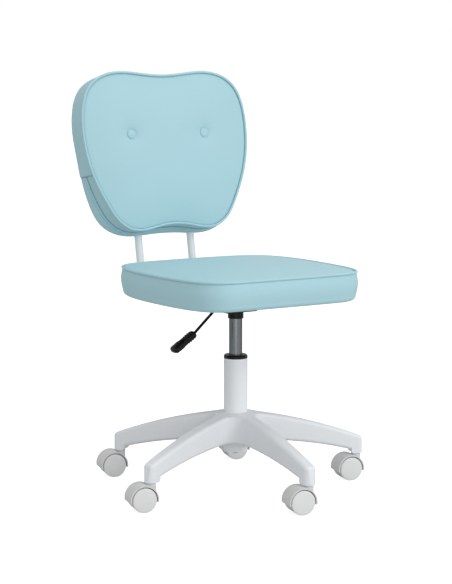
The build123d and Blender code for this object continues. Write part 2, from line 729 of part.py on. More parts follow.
with BuildPart() as wheel:
    with BuildSketch(Plane.XY.offset(wheel_radius)):
        with BuildLine():
            bore = axle_radius + wheel_fit
            Polyline((caster_trail, axle_half_length + body_gap),
                     (caster_trail + bore, axle_half_length + body_gap),
                     (caster_trail + bore, wheel_inner_y),
                     (caster_trail + wheel_radius - 1, wheel_inner_y),
                     (caster_trail + wheel_radius, wheel_inner_y + 1),
                     (caster_trail + wheel_radius, wheel_outer_y - 1),
                     (caster_trail + wheel_radius - 1, wheel_outer_y),
                     (caster_trail, wheel_outer_y), close=True)
        make_face()
    revolve(axis=Axis(wheel_centre, (0, 1, 0)))

for number, angle in enumerate(leg_angles, start=1):
    place = Location((stem_circle_radius * cos(radians(angle)),
                      stem_circle_radius * sin(radians(angle)), 0), (0, 0, caster_heading))
    finish(hood.part.moved(place), f"caster_{number}_hood")
    finish(stem.part.moved(place), f"caster_{number}_stem")
    finish(axle.part.moved(place), f"caster_{number}_axle")
    finish(wheel.part.moved(place), f"caster_{number}_wheel_left")
    finish(mirror(wheel.part, about=Plane.XZ).moved(place), f"caster_{number}_wheel_right")
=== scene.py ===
# %% [markdown]
# # An armless swivel chair, dressed for its picture
# The engineering model of the chair is already loaded as a fixed frame: tubes, column, base,
# casters, lever.  This lesson gives it what a drawing can't: stuffed pads, piping, moulded
# edges and finishes.  Every new piece is a surface worked out with numpy, laid exactly where
# the frame says the real piece sits.

# %% Load the frame
import bpy
import numpy as np
from math import cos, pi, radians, sin
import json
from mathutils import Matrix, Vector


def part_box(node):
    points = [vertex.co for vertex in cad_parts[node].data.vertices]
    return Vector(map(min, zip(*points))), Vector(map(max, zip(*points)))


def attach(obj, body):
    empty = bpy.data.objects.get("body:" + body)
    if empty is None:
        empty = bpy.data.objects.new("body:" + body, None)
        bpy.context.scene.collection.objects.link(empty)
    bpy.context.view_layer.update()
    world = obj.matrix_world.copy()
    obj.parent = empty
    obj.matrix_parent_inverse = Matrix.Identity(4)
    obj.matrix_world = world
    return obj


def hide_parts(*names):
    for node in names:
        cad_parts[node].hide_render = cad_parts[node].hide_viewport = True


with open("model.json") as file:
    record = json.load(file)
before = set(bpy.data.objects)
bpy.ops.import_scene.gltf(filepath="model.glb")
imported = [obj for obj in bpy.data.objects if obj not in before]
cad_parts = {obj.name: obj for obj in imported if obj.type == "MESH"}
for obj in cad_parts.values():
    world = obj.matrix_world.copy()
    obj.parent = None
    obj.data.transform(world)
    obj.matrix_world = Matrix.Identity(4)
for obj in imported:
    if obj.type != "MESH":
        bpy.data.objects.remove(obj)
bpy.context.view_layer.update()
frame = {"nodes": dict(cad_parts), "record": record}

# %% [markdown]
# ## Camera
# The chair is seen from its front left, a little above the seat, through a long lens from
# three and a half metres away.  A long lens keeps the legs of the base from spreading, which
# is why furniture is pictured that way.

# %% Camera
VIEW_AZIMUTH = radians(-32)
VIEW_DISTANCE = 3.59
VIEW_HEIGHT = 0.881
VIEW_SIDESTEP = -0.0202
VIEW_PITCH = radians(7.45)

camera = bpy.data.objects.new("camera", bpy.data.cameras.new("camera"))
bpy.context.scene.collection.objects.link(camera)
bpy.context.scene.camera = camera
camera.data.lens = 107.1
camera.location = (sin(VIEW_AZIMUTH) * VIEW_DISTANCE + cos(VIEW_AZIMUTH) * VIEW_SIDESTEP,
                   -cos(VIEW_AZIMUTH) * VIEW_DISTANCE + sin(VIEW_AZIMUTH) * VIEW_SIDESTEP,
                   VIEW_HEIGHT)
camera.rotation_euler = (radians(90) - VIEW_PITCH, 0, VIEW_AZIMUTH)
print("camera at", tuple(round(x, 3) for x in camera.location))

# %% [markdown]
# ## Studio
# A white sweep, one large soft light from the front right, a weaker one from above and a low
# one from the front left that opens the shadow over the base.  The left flank of the seat and
# of the back falls into a soft shade, which is what shows their thickness.  The floor and the
# world glow a little more to the camera than to the chair, so the paper stays white.

# %% Studio helpers
def plain_material(name, color, roughness):
    """A plain Principled material."""
    material = bpy.data.materials.new(name)
    material.use_nodes = True
    shader = material.node_tree.nodes["Principled BSDF"]
    shader.inputs["Base Color"].default_value = (*color, 1)
    shader.inputs["Roughness"].default_value = roughness
    return material


def soft_light(name, place, aim, size, power):
    """A square area light at place, facing aim."""
    light = bpy.data.objects.new(name, bpy.data.lights.new(name, "AREA"))
    light.data.shape = "SQUARE"
    light.data.size = size
    light.data.energy = power
    bpy.context.scene.collection.objects.link(light)
    light.location = place
    toward = np.array(aim, float) - np.array(place, float)
    light.rotation_euler = (np.arctan2(np.hypot(toward[0], toward[1]), -toward[2]), 0,
                            np.arctan2(toward[1], toward[0]) - pi / 2)
    return light


print("studio helpers:", plain_material.__name__, soft_light.__name__)

# %% Floor
FLOOR_SIZE = 60.0
PAPER_GLOW = 0.75
floor_mesh = bpy.data.meshes.new("floor")
corner = FLOOR_SIZE / 2
floor_mesh.from_pydata([(-corner, -corner, 0), (corner, -corner, 0), (corner, corner, 0),
                        (-corner, corner, 0)], [], [(0, 1, 2, 3)])
floor = bpy.data.objects.new("floor", floor_mesh)
bpy.context.scene.collection.objects.link(floor)
paper = plain_material("floor paper", (0.62, 0.62, 0.62), 0.9)
paper_shader = paper.node_tree.nodes["Principled BSDF"]
paper_shader.inputs["Emission Color"].default_value = (1, 1, 1, 1)
to_camera = paper.node_tree.nodes.new("ShaderNodeLightPath")
glow = paper.node_tree.nodes.new("ShaderNodeMath")
glow.operation = "MULTIPLY"
glow.inputs[1].default_value = PAPER_GLOW
paper.node_tree.links.new(to_camera.outputs["Is Camera Ray"], glow.inputs[0])
paper.node_tree.links.new(glow.outputs[0], paper_shader.inputs["Emission Strength"])
floor_mesh.materials.append(paper)
print("floor:", FLOOR_SIZE, "m of paper")

# %% World and lights
SKY_LIGHT, SKY_SEEN = 0.66, 1.0
world = bpy.data.worlds.new("studio")
bpy.context.scene.world = world
world.use_nodes = True
sky = world.node_tree.nodes["Background"]
sky.inputs["Color"].default_value = (1.0, 1.0, 1.0, 1)
sky_path = world.node_tree.nodes.new("ShaderNodeLightPath")
sky_strength = world.node_tree.nodes.new("ShaderNodeMapRange")
sky_strength.inputs["To Min"].default_value = SKY_LIGHT
sky_strength.inputs["To Max"].default_value = SKY_SEEN
world.node_tree.links.new(sky_path.outputs["Is Camera Ray"], sky_strength.inputs["Value"])
world.node_tree.links.new(sky_strength.outputs["Result"], sky.inputs["Strength"])

soft_light("key", (1.6, -3.6, 2.6), (0, 0, 0.4), 2.2, 63)
soft_light("top", (0.3, 0.2, 3.6), (0, 0, 0.4), 2.6, 14)
soft_light("low fill", (-1.3, -2.6, 0.45), (0.0, 0.0, 0.12), 1.2, 7)
bpy.context.scene.view_settings.view_transform = "Standard"

# %% [markdown]
# ## Shared effects, as node groups
# Two effects come back in many finishes, so each is built once: the pebbled grain of coated
# cloth, and the faint unevenness of a moulded or painted surface.  A group puts out a height
# for the bump and a mask that mixes two shades; the shader itself stays in the material.

# %% Node group helpers
def new_group(name, inputs, outputs):
    """An empty shader node group with named float inputs and named outputs."""
    group = bpy.data.node_groups.new(name, "ShaderNodeTree")
    for label, default in inputs:
        socket = group.interface.new_socket(label, in_out="INPUT", socket_type="NodeSocketFloat")
        socket.default_value = default
    for label in outputs:
        group.interface.new_socket(label, in_out="OUTPUT", socket_type="NodeSocketFloat")
    return group, group.nodes.new("NodeGroupInput"), group.nodes.new("NodeGroupOutput")


def math_node(tree, operation, a, b):
    """A Math node; a and b are sockets or numbers."""
    node = tree.nodes.new("ShaderNodeMath")
    node.operation = operation
    for socket, value in zip(node.inputs, (a, b)):
        if isinstance(value, (int, float)):
            socket.default_value = value
        else:
            tree.links.new(value, socket)
    return node.outputs[0]


print("node helpers:", new_group.__name__, math_node.__name__)

# %% [markdown]
# ### Coated cloth
# Faux leather is embossed with a fine pebble: cells with a thin valley between them, and a
# softer fold over that.  A Voronoi texture gives the cells, a Noise texture the fold, and a
# second, slow Noise gives the mask for the shades.

# %% Grain of coated cloth
grain, grain_in, grain_out = new_group(
    "coated cloth grain", [("Scale", 900.0), ("Pores", 0.5)], ["Height", "Tint"])
coords = grain.nodes.new("ShaderNodeTexCoord")
cells = grain.nodes.new("ShaderNodeTexVoronoi")
cells.feature = "DISTANCE_TO_EDGE"
fold = grain.nodes.new("ShaderNodeTexNoise")
fold.inputs["Detail"].default_value = 3.0
for texture in (cells, fold):
    grain.links.new(coords.outputs["Object"], texture.inputs["Vector"])
    grain.links.new(grain_in.outputs["Scale"], texture.inputs["Scale"])
cloud = grain.nodes.new("ShaderNodeTexNoise")
cloud.inputs["Scale"].default_value = 9.0
grain.links.new(coords.outputs["Object"], cloud.inputs["Vector"])
valley = math_node(grain, "MULTIPLY", cells.outputs["Distance"], grain_in.outputs["Pores"])
grain.links.new(math_node(grain, "ADD", valley, fold.outputs["Fac"]), grain_out.inputs["Height"])
grain.links.new(cloud.outputs["Fac"], grain_out.inputs["Tint"])
print("built", grain.name)

# %% [markdown]
# ### Moulded and painted skin
# Nylon from a mould and powder coat are never quite even.  A fine Noise makes the height and
# a broad one the mask, which is all that such a plain surface needs.

# %% Unevenness of a moulded or painted skin
skin, skin_in, skin_out = new_group(
    "moulded skin", [("Fine", 1400.0), ("Broad", 30.0)], ["Height", "Patch"])
coords = skin.nodes.new("ShaderNodeTexCoord")
for label, source in (("Height", "Fine"), ("Patch", "Broad")):
    noise = skin.nodes.new("ShaderNodeTexNoise")
    noise.inputs["Detail"].default_value = 2.0
    skin.links.new(coords.outputs["Object"], noise.inputs["Vector"])
    skin.links.new(skin_in.outputs[source], noise.inputs["Scale"])
    skin.links.new(noise.outputs["Fac"], skin_out.inputs[label])
print("built", skin.name)

# %% [markdown]
# ## Finishes
# Each finish is one Principled shader.  Its colour is mixed from two close shades by a slow
# cloud of noise, because no real surface is one flat colour, and its grain reaches the
# normal through a Bump node.

# %% Finish builder
def finish(name, dark, light, roughness, group, bump, metallic=0.0, gloss=0.5, group_values=()):
    """A Principled material: dark and light shades mixed by the group's mask, and its bump."""
    material = bpy.data.materials.new(name)
    material.use_nodes = True
    tree = material.node_tree
    shader = tree.nodes["Principled BSDF"]
    shader.inputs["Metallic"].default_value = metallic
    shader.inputs["Specular IOR Level"].default_value = gloss
    effect = tree.nodes.new("ShaderNodeGroup")
    effect.node_tree = group
    for label, value in group_values:
        effect.inputs[label].default_value = value
    shades = tree.nodes.new("ShaderNodeMix")
    shades.data_type = "RGBA"
    shades.inputs["A"].default_value = (*dark, 1)
    shades.inputs["B"].default_value = (*light, 1)
    tree.links.new(effect.outputs[1], shades.inputs["Factor"])
    tree.links.new(shades.outputs["Result"], shader.inputs["Base Color"])
    rough = tree.nodes.new("ShaderNodeMapRange")
    rough.inputs["To Min"].default_value = roughness - 0.05
    rough.inputs["To Max"].default_value = roughness + 0.05
    tree.links.new(effect.outputs[1], rough.inputs["Value"])
    tree.links.new(rough.outputs["Result"], shader.inputs["Roughness"])
    relief = tree.nodes.new("ShaderNodeBump")
    relief.inputs["Strength"].default_value = 0.4
    relief.inputs["Distance"].default_value = bump
    tree.links.new(effect.outputs[0], relief.inputs["Height"])
    tree.links.new(relief.outputs["Normal"], shader.inputs["Normal"])
    return material


print("finish builder:", finish.__name__)

# %% [markdown]
# ### The chair's own finishes
# The cover is pale aqua with little gloss.  The base, the casters and the tubes are three
# slightly different whites, and the fittings under the seat are black.

# %% Cover, plastics and paint
aqua = finish("aqua faux leather", (0.410, 0.655, 0.722), (0.430, 0.680, 0.747), 0.45, grain,
              0.00035, gloss=0.28)
base_white = finish("white moulded nylon", (0.820, 0.842, 0.870), (0.850, 0.872, 0.900), 0.45,
                    skin, 0.0001)
paint_white = finish("white powder coat", (0.870, 0.905, 0.920), (0.900, 0.935, 0.950), 0.34,
                     skin, 0.0001, group_values=[("Fine", 900.0)])
hood_grey = finish("caster hood nylon", (0.690, 0.700, 0.695), (0.720, 0.730, 0.725), 0.55, skin,
                   0.0002)
disc_white = finish("caster wheel nylon", (0.780, 0.785, 0.785), (0.810, 0.815, 0.815), 0.45,
                    skin, 0.0001)
black_nylon = finish("black nylon", (0.004, 0.005, 0.006), (0.008, 0.009, 0.010), 0.36, skin,
                     0.0002, gloss=0.25)
black_paint = finish("black paint", (0.004, 0.005, 0.006), (0.008, 0.009, 0.010), 0.30, skin,
                     0.0001, gloss=0.25)
zinc = finish("zinc plate", (0.42, 0.43, 0.44), (0.52, 0.53, 0.53), 0.32, skin, 0.0001,
              metallic=1.0)
rubber = finish("black rubber", (0.012, 0.012, 0.012), (0.020, 0.020, 0.020), 0.75, skin, 0.0003)
lining = finish("dust cover cloth", (0.012, 0.012, 0.013), (0.022, 0.022, 0.023), 0.9, grain,
                0.0004)
# The cross seams' thread is a darker aqua than the cover: painted shade of the groove it lies in.
seam_shade_thread = finish("aqua thread in shade", (0.165, 0.330, 0.375), (0.185, 0.350, 0.395), 0.7,
                     grain, 0.0002)
plywood = finish("raw plywood", (0.42, 0.29, 0.17), (0.55, 0.41, 0.26), 0.7, skin, 0.0004,
                 group_values=[("Broad", 60.0)])
print("finishes:", len(bpy.data.materials))

# %% [markdown]
# ### The gas cylinder's steel
# The cylinder is polished and dark.  Layer Weight mixes its shade towards a near black where it
# turns away from the eye: a painted reflection of dark surroundings at the cylinder's edges.

# %% Dark polished steel
gunmetal = finish("dark polished steel", (0.235, 0.252, 0.266), (0.285, 0.302, 0.316), 0.22,
                  skin, 0.00005, metallic=1.0)
steel = gunmetal.node_tree
steel_shader = steel.nodes["Principled BSDF"]
plain_shade = steel_shader.inputs["Base Color"].links[0].from_socket
# Painted reflection: the base colour turns near black at grazing angles, as polished steel
# mirroring dark surroundings would.
edge_reflection_weight = steel.nodes.new("ShaderNodeLayerWeight")
edge_reflection_weight.inputs["Blend"].default_value = 0.42
painted_edge_reflection = steel.nodes.new("ShaderNodeMix")
painted_edge_reflection.data_type = "RGBA"
painted_edge_reflection.inputs["B"].default_value = (0.030, 0.034, 0.038, 1)
steel.links.new(edge_reflection_weight.outputs["Facing"], painted_edge_reflection.inputs["Factor"])
steel.links.new(plain_shade, painted_edge_reflection.inputs["A"])
steel.links.new(painted_edge_reflection.outputs["Result"], steel_shader.inputs["Base Color"])
print("built", gunmetal.name)

# %% [markdown]
# ## Dressing the frame's own nodes
# Tubes, column, base and the small works keep the shape they have in the frame.  They only
# change material, by the finish that the record names for them.

# %% Materials for the carried-over nodes
finish_of_slot = {
    "base_plastic": base_white, "socket_plastic": disc_white, "hood_plastic": hood_grey,
    "wheel_plastic": disc_white, "white_paint": paint_white, "black_plastic": black_nylon,
    "black_paint": black_paint, "gunmetal": gunmetal, "zinc_steel": zinc, "rubber": rubber,
    "lining": lining, "plywood": plywood, "upholstery": aqua,
}
for entry in frame["record"]["subparts"]:
    node = frame["nodes"][entry["node"]]
    for slot in node.material_slots:
        slot.material = finish_of_slot[entry["material_slot"]]

# %% [markdown]
# ## Surface tools
# A stuffed pad, a caster disc and a length of piping are all rows of points.  Rows that
# close round an outline become a shell once quads join each row to the next, and a fan closes
# each end.

# %% From rows of points to a mesh
def mesh_piece(name, points, faces, material, body, slot_name):
    """Put points and faces into a smooth-shaded object that rides on a body."""
    mesh = bpy.data.meshes.new(name)
    mesh.from_pydata(np.asarray(points).tolist(), [], faces)
    mesh.shade_smooth()
    mesh.materials.append(material)
    piece = bpy.data.objects.new(name, mesh)
    bpy.context.scene.collection.objects.link(piece)
    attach(piece, body)
    return piece


def row_quads(rows, columns, closed_rows=False):
    """Quads between neighbouring rows; each row is a closed ring of columns points."""
    a = np.arange(rows if closed_rows else rows - 1)[:, None]
    b = np.arange(columns)[None, :]
    c, d = (a + 1) % rows, (b + 1) % columns
    quads = np.stack([a * columns + b, a * columns + d, c * columns + d, c * columns + b], -1)
    return quads.reshape(-1, 4)


def shell(rows):
    """Points and faces of a closed skin: rings joined by quads, first and last ring capped.

    rows has the shape (rings, points in a ring, 3).  Each cap is a fan about the ring's mean.
    """
    count, around = rows.shape[:2]
    points = np.vstack([rows.reshape(-1, 3), rows[0].mean(0), rows[-1].mean(0)])
    ring = np.arange(around)
    after = (ring + 1) % around
    last = (count - 1) * around
    first_fan = np.stack([after, ring, np.full(around, count * around)], -1)
    last_fan = np.stack([last + ring, last + after, np.full(around, count * around + 1)], -1)
    faces = row_quads(count, around).tolist() + first_fan.tolist() + last_fan.tolist()
    return points, faces


print("mesh tools:", mesh_piece.__name__, row_quads.__name__, shell.__name__)

# %% [markdown]
# ### Outlines
# The outline of a cushion is a few knots with a smooth curve through them.  Only its right
# half is given, because the chair is symmetric.

# %% Smooth closed outlines
def closed_curve(knots, count):
    """A smooth closed curve through knots: a periodic cubic spline, sampled evenly.

    Its bending at the knots solves the usual tridiagonal system, wrapped round at the ends.
    """
    p = np.asarray(knots, float)
    step = np.roll(p, -1, 0) - p
    h = np.linalg.norm(step, axis=1)
    before = np.roll(h, 1)
    eye = np.eye(len(p))
    system = (np.diag(2 * (before + h)) + before[:, None] * np.roll(eye, -1, 1)
              + h[:, None] * np.roll(eye, 1, 1))
    slope = step / h[:, None]
    bend = np.linalg.solve(system, 6 * (slope - np.roll(slope, 1, 0)))
    ends = np.concatenate([[0], np.cumsum(h)])
    s = np.linspace(0, ends[-1], count, endpoint=False)
    i = np.searchsorted(ends, s, "right") - 1
    j = (i + 1) % len(p)
    u, w = (s - ends[i])[:, None], h[i][:, None]
    return ((bend[i] * (w - u) ** 3 + bend[j] * u ** 3) / (6 * w)
            + (p[i] / w - bend[i] * w / 6) * (w - u) + (p[j] / w - bend[j] * w / 6) * u)


def outward(curve):
    """Unit normals of a closed plane curve that runs anticlockwise, pointing outwards."""
    along = np.roll(curve, -1, 0) - np.roll(curve, 1, 0)
    along /= np.linalg.norm(along, axis=1)[:, None]
    return np.stack([along[:, 1], -along[:, 0]], -1)


def mirrored_outline(half, half_width, half_length):
    """Knots of a symmetric outline from its right half, given as shares of the half sizes."""
    right = [(x * half_width, y * half_length) for x, y in half]
    return right + [(-x, y) for x, y in reversed(right[1:-1])]


print("outline tools:", closed_curve.__name__, outward.__name__, mirrored_outline.__name__)

# %% [markdown]
# ### Piping
# Piping is a thin cord wrapped in the cover and sewn into the seam.  A ring of points is
# carried along the seam's line, on two directions square to it.

# %% A cord along a path
def cord_rows(path, across, up, radius, sides=12):
    """Rings of a round cord along a path.

    Each ring is path + radius * (cos a * across + sin a * up), for a round the full turn.
    """
    a = np.linspace(0, 2 * pi, sides, endpoint=False)[None, :, None]
    return path[:, None] + radius * (np.cos(a) * across[:, None] + np.sin(a) * up[:, None])


def cord_loop(name, path, across, up, radius, material, body, slot_name):
    """A cord along a closed path, as a closed tube."""
    rows = cord_rows(path, across, up, radius)
    faces = row_quads(len(path), rows.shape[1], closed_rows=True)[:, ::-1].tolist()
    return mesh_piece(name, rows.reshape(-1, 3), faces, material, body, slot_name)


def smooth_step(x):
    """0 below 0, 1 above 1, and an S curve between."""
    t = np.clip(x, 0, 1)
    return t * t * (3 - 2 * t)


print("cord tools:", cord_rows.__name__, cord_loop.__name__)

# %% [markdown]
# ## The seat pad
# A plywood board, a slab of foam and a cover sewn from a top panel and a side band.  The
# cover is tight, so the top is a low crown that drops quickly near the seam, and the band
# bellies a little between the seam and the edge under the board.  Rings shrink towards the
# middle for the top, run down the band, and tuck under to where the cover is stapled.

# %% Seat outline
seat_low, seat_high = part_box("seat_cushion")
SEAT_HALF = [(0.0, -1.0), (0.28, -1.0), (0.54, -0.996), (0.73, -0.967), (0.86, -0.868),
             (0.94, -0.68), (0.978, -0.45), (0.996, -0.20), (1.0, 0.05), (0.997, 0.27),
             (0.975, 0.48), (0.93, 0.67), (0.85, 0.83), (0.72, 0.93), (0.50, 0.985),
             (0.25, 0.998), (0.0, 1.0)]
SEAT_BULGE = 0.0080
seat_half_width = (seat_high.x - seat_low.x) / 2 + SEAT_BULGE
seat_half_depth = (seat_high.y - seat_low.y) / 2
seat_centre = np.array([(seat_high.x + seat_low.x) / 2, (seat_high.y + seat_low.y) / 2])
AROUND = 480
seat_curve = closed_curve(mirrored_outline(SEAT_HALF, seat_half_width, seat_half_depth), AROUND)
seat_normal = outward(seat_curve)
print("seat", round(2 * seat_half_width, 3), "by", round(2 * seat_half_depth, 3))

# %% [markdown]
# ### The seat's cover
# One skin covers top, band, edge and hem, so no gap can open between them.  A valley runs
# just inside the seam, where the stitches pull the cover down beside the piping.

# %% Seat pad
PIPING_RADIUS = 0.0027
SEAT_SEAM_DROP = 0.0090
seat_seam_z = seat_high.z - SEAT_SEAM_DROP
SEAT_CROWN = 0.014
SEAT_VALLEY, SEAM_VALLEY_WIDTH = 0.0030, 0.0034
SEAT_BELLY, SEAT_BAND_PULL = 0.0040, 0.0012
SEAT_EDGE_RADIUS = 0.011
SEAT_HEM = 0.024
BOARD_CLEARANCE, COVER_GAP = 0.0016, 0.0002
board_low, board_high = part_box("seat_board")
cover_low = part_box("dust_cover")[0]


def seat_rings():
    """Rings from the middle of the top to the middle of the board's pocket.

    Top: scale t, height crown * (1 - t**3.4) with a valley at the seam.  Band: the outline
    moved out by a sine belly.  Under edge: a quarter circle.  Then the hem, and the pocket.
    """
    t = np.concatenate([np.linspace(0.03, 0.94, 46), np.linspace(0.95, 1.0, 12)])
    valley = SEAT_VALLEY * np.exp(-((1 - t) * seat_half_width / SEAM_VALLEY_WIDTH) ** 2)
    top_z = seat_seam_z + SEAT_CROWN * (1 - t ** 3.4) - valley
    v = np.linspace(0.02, 1, 26)
    band_drop = seat_seam_z - seat_low.z - SEAT_EDGE_RADIUS
    band_out = SEAT_BELLY * np.sin(pi * v) - SEAT_BAND_PULL * np.exp(-(v / 0.06) ** 2)
    turn = np.linspace(0, pi / 2, 12)[1:]
    edge_out = -SEAT_EDGE_RADIUS * (1 - np.cos(turn))
    edge_z = seat_low.z + SEAT_EDGE_RADIUS * (1 - np.sin(turn))
    board_inset = seat_half_width - (board_high.x - board_low.x) / 2
    hem_out = [-SEAT_HEM, -SEAT_HEM, -board_inset, -board_inset]
    pocket_top = board_high.z + BOARD_CLEARANCE
    hem_z = [seat_low.z, cover_low.z - COVER_GAP, cover_low.z - COVER_GAP, pocket_top]
    scale = np.concatenate([t, np.ones(len(v) + len(turn) + 4), [0.5, 0.05]])
    out = np.concatenate([0 * t, band_out, edge_out, hem_out, [-board_inset] * 2])
    z = np.concatenate([top_z, seat_seam_z - band_drop * v, edge_z, hem_z, [pocket_top] * 2])
    plan = (seat_centre + seat_curve[None] * scale[:, None, None]
            + seat_normal[None] * out[:, None, None])
    return np.dstack([plan, np.repeat(z[:, None], AROUND, 1)])


seat_rows = seat_rings()
points, faces = shell(seat_rows[::-1])
seat_pad = mesh_piece("seat_pad", points, faces, aqua, "seat", "upholstery")
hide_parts("seat_cushion")
print("seat pad:", len(faces), "faces")

# %% [markdown]
# ### The seat's piping
# The cord follows the outline at the seam's height and stands half out of the cover.

# %% Seat piping
SEAT_PIPING_OUT = 0.0006
seat_path = np.column_stack([seat_centre + seat_curve + seat_normal * SEAT_PIPING_OUT,
                             np.full(AROUND, seat_seam_z)])
flat_out = np.column_stack([seat_normal, np.zeros(AROUND)])
upright = np.tile([0.0, 0.0, 1.0], (AROUND, 1))
cord_loop("seat_piping", seat_path, flat_out, upright, PIPING_RADIUS, aqua, "seat",
          "upholstery")
print("seat piping:", round(np.linalg.norm(np.diff(seat_path, axis=0), axis=1).sum(), 3), "m")

# %% [markdown]
# ## The back pad
# The back is worked out lying flat, in a frame of its own: x across, s up along the back and
# d forwards out of it.  A last step leans it into place.  Two buttons are tied through the
# foam, and the cover sinks towards each in a soft funnel with a few pulled creases.

# %% Back frame and outline
RECLINE = radians(10)
BACK_UPPER_HALF = [(0.0, 0.955), (0.24, 0.975), (0.48, 1.0), (0.70, 0.965), (0.88, 0.83),
                   (0.975, 0.59), (1.0, 0.30), (0.975, -0.04)]
BACK_LOWER_FRONT = [(0.90, -0.35), (0.78, -0.65), (0.65, -0.87), (0.50, -0.97), (0.30, -0.965),
                    (0.13, -0.925), (0.0, -0.915)]
BACK_LOWER_REAR = [(0.945, -0.34), (0.885, -0.63), (0.775, -0.88), (0.59, -1.015),
                   (0.34, -1.045), (0.15, -1.03), (0.0, -1.025)]
BACK_HALF_HEIGHT = 0.173
BACK_SEAM_TO_BOARD = 0.034
front_low, front_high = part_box("back_cushion")
back_board_low, back_board_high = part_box("back_board")
back_half_width = (front_high.x - front_low.x) / 2
lean_up = np.array([0, sin(RECLINE), cos(RECLINE)])
lean_out = np.array([0, -cos(RECLINE), sin(RECLINE)])
lean_across = np.array([1.0, 0.0, 0.0])
board_middle = np.array((back_board_low + back_board_high) / 2)
BACK_BOARD_HALF = 0.0045
BACK_BOARD_SHIFT = 0.0021
back_origin = (board_middle + lean_out * (BACK_SEAM_TO_BOARD + BACK_BOARD_HALF)
               - lean_up * BACK_BOARD_SHIFT)
print("back's front seam passes through", back_origin.round(4))


def lean(x, s, d):
    """Points of the flat back frame, leaned into place: origin + x across + s up + d out."""
    x, s, d = np.broadcast_arrays(x, s, d)
    return (back_origin + x[..., None] * lean_across + s[..., None] * lean_up
            + d[..., None] * lean_out)


BACK_AROUND = 720
front_edge, rear_edge = (
    closed_curve(mirrored_outline(BACK_UPPER_HALF + lower, back_half_width, BACK_HALF_HEIGHT),
                 BACK_AROUND)[::-1] for lower in (BACK_LOWER_FRONT, BACK_LOWER_REAR))
front_normal = outward(front_edge)
print("back outline:", BACK_AROUND, "points, front and rear")

# %% [markdown]
# ### Tufts
# A button pulls the cover into the foam: a soft bowl about it, a tucked ring at its rim and a
# few creases that run away from it.  The creases are a short list of side, direction in
# degrees and length.

# %% Tufts of the back
BACK_CROWN = 0.013
BACK_VALLEY = 0.0022
BACK_THICK = 0.066
BACK_SECOND_SEAM = 0.034
BACK_CROSS_SEAM = -0.047
BACK_REAR_RADIUS = 0.020
BUTTON_SPREAD = 0.092
BUTTON_RISE = 0.038
BUTTON_RADIUS = 0.0102
TUFT_DEPTH, TUFT_REACH = 0.0065, 0.021
RING_DEPTH, RING_WIDTH = 0.0014, 0.0022
CREASE_DEPTH = 0.00045
CREASES = [(1, 38, 0.06), (1, 16, 0.07), (1, 70, 0.035), (-1, 150, 0.045), (-1, 60, 0.03)]


def tuft(x, s):
    """How far the cover sinks at (x, s): a soft bowl and a tucked ring at each button.

    Bowl: 6.5 mm * exp(-(r / 21 mm)**1.4).  Ring: a Gaussian about the button's edge.  A
    crease is a narrow Gaussian across its own direction that fades along its length.
    """
    sink = np.zeros(np.broadcast(x, s).shape)
    for side in (-1, 1):
        dx, ds = (x - side * BUTTON_SPREAD) * side, s - BUTTON_RISE
        r = np.hypot(dx, ds)
        sink += TUFT_DEPTH * np.exp(-(r / TUFT_REACH) ** 1.4)
        sink += RING_DEPTH * np.exp(-((r - BUTTON_RADIUS) / RING_WIDTH) ** 2)
        for own, angle, length in CREASES:
            along = dx * cos(radians(angle)) + ds * sin(radians(angle))
            off = ds * cos(radians(angle)) - dx * sin(radians(angle))
            fade = smooth_step(along / 0.014) * np.exp(-np.clip(along, 0, None) / length * 1.6)
            width = 0.0018 + 0.06 * np.abs(along)
            sink += (own == side) * CREASE_DEPTH * fade * np.exp(-(off / width) ** 2)
    return sink


print("deepest tuft:", round(float(tuft(np.array([BUTTON_SPREAD]), np.array([BUTTON_RISE]))[0]), 4))

# %% [markdown]
# ### The back's cover
# Rings start at the middle of the front face, widen to the front seam, go back along the
# band, turn round the rear edge and close on the rear face.

# %% Back pad
def band_edge(depth):
    """The pad's outline at depths behind the front seam, with its outward normals.

    The front outline turns into the fuller rear one by the second seam.  The closed band above
    the cross seams stands a little prouder than the panel sewn in below them.
    """
    share = np.interp(depth, [0, BACK_SECOND_SEAM, BACK_SECOND_SEAM + 0.005, 0.048, 1],
                      [0, 0.42, 0.72, 1, 1])[:, None, None]
    edge = front_edge[None] * (1 - share) + rear_edge[None] * share
    normal = np.stack([outward(row) for row in edge])
    above = smooth_step((edge[..., 1] - BACK_CROSS_SEAM) / 0.003 + 0.5)
    step = np.sin(pi * np.clip(np.asarray(depth) / BACK_THICK, 0, 1))[:, None] ** 0.5
    proud = (0.0026 * above - 0.0006) * step
    groove = 0.0012 * np.exp(-((edge[..., 1] - BACK_CROSS_SEAM) / 0.0020) ** 2)
    second = (1 - above) * 0.0022 * np.exp(
        -((np.asarray(depth)[:, None] - BACK_SECOND_SEAM) / 0.0026) ** 2)
    panel = np.sin(pi * np.clip(np.asarray(depth) / BACK_SECOND_SEAM, 0, 1))[:, None]
    sunk = (1 - above) * 0.0020 * panel
    return edge + normal * (proud - groove - second - sunk)[..., None], normal


